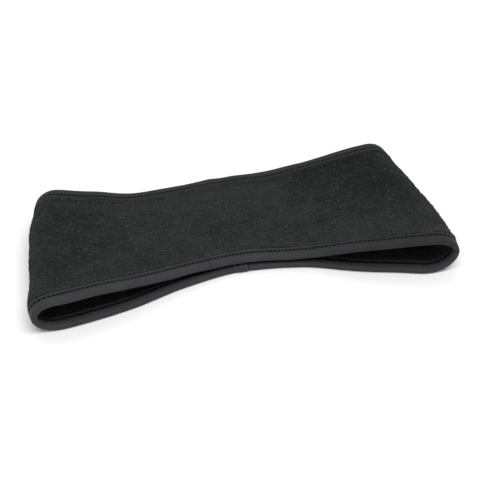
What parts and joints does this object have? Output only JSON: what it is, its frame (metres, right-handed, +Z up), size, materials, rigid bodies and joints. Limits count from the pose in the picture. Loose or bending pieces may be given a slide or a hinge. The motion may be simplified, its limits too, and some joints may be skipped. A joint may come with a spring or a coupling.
{
  "type": "fleece ear warmer headband",
  "caption": "Fleece ear warmer headband with tape-bound edges, a loop lying folded flat at the ears, deeper over the ears than at the middle.",
  "frame": {"origin": "on the surface that the band lies on, under the middle of its box", "axes": "+X from the left fold to the right fold, +Y from the lower edge, over the ears, to the upper edge, +Z up"},
  "size_m": [0.2634, 0.117, 0.0313],
  "materials": {
    "fleece": "napped, matt",
    "binding_tape": "smooth stretch knit, faint sheen"
  },
  "bodies": {
    "root": {"fleece_band": "fleece", "lower_edge_binding": "binding_tape", "upper_edge_binding": "binding_tape"}
  },
  "joints": []
}
